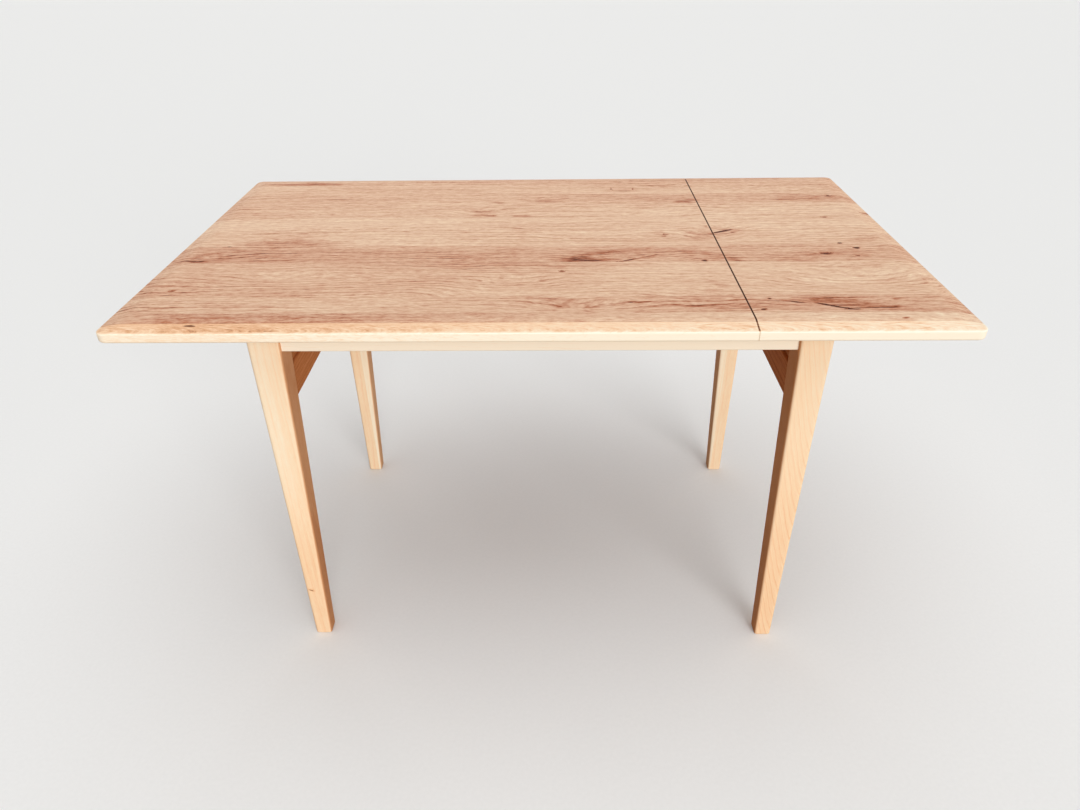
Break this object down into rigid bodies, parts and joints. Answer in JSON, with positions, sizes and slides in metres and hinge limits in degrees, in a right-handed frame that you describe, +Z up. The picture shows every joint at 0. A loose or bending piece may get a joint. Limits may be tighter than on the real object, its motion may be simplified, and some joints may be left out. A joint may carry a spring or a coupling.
{
  "type": "extending dining table",
  "caption": "Rectangular hardwood dining table whose main top slides on a four-legged frame, with a loose end leaf that draws off on two arms.",
  "frame": {"origin": "on the floor, under the centre of the extended top", "axes": "+X along the length, towards the leaf; -Y the front; +Z up"},
  "size_m": [1.2, 0.702, 0.688],
  "materials": {
    "top_wood": "satin oiled",
    "leg_wood": "satin oiled",
    "rail_wood": "satin oiled",
    "inner_wood": "plain sanded",
    "dowel_wood": "plain sanded",
    "steel": "zinc plated",
    "glide_plastic": "matt",
    "felt": "felt"
  },
  "bodies": {
    "frame": {"front_left_leg": "leg_wood", "front_right_leg": "leg_wood", "rear_right_leg": "leg_wood", "rear_left_leg": "leg_wood", "front_apron": "rail_wood", "rear_apron": "rail_wood", "left_lower_rail": "rail_wood", "right_lower_rail": "rail_wood", "left_upper_rail": "rail_wood", "right_upper_rail": "rail_wood", "left_cross_rail": "inner_wood", "right_cross_rail": "inner_wood", "front_left_corner_block": "inner_wood", "front_right_corner_block": "inner_wood", "rear_right_corner_block": "inner_wood", "rear_left_corner_block": "inner_wood", "block_screws": "steel", "leg_bolts": "steel", "leg_washers": "steel", "leg_nuts": "steel", "left_glide_strip": "glide_plastic", "right_glide_strips": "glide_plastic", "left_stop_pads": "felt", "right_stop_pads": "felt"},
    "top": {"main_top": "top_wood", "front_runner": "inner_wood", "rear_runner": "inner_wood", "runner_screws": "steel", "left_stiffener": "steel", "right_stiffener": "steel", "stiffener_screws": "steel"},
    "leaf": {"leaf": "top_wood", "front_leaf_arm": "inner_wood", "rear_leaf_arm": "inner_wood", "arm_screws": "steel", "leaf_dowels": "dowel_wood", "leaf_stiffener": "steel", "leaf_stiffener_screws": "steel"}
  },
  "joints": [
    {"name": "top_slide", "type": "slide", "parent": "frame", "child": "top", "axis": [1, 0, 0], "range_m": [0, 0.15215]},
    {"name": "leaf_pull", "type": "slide", "parent": "top", "child": "leaf", "axis": [1, 0, 0], "range_m": [0, 0.26]}
  ]
}
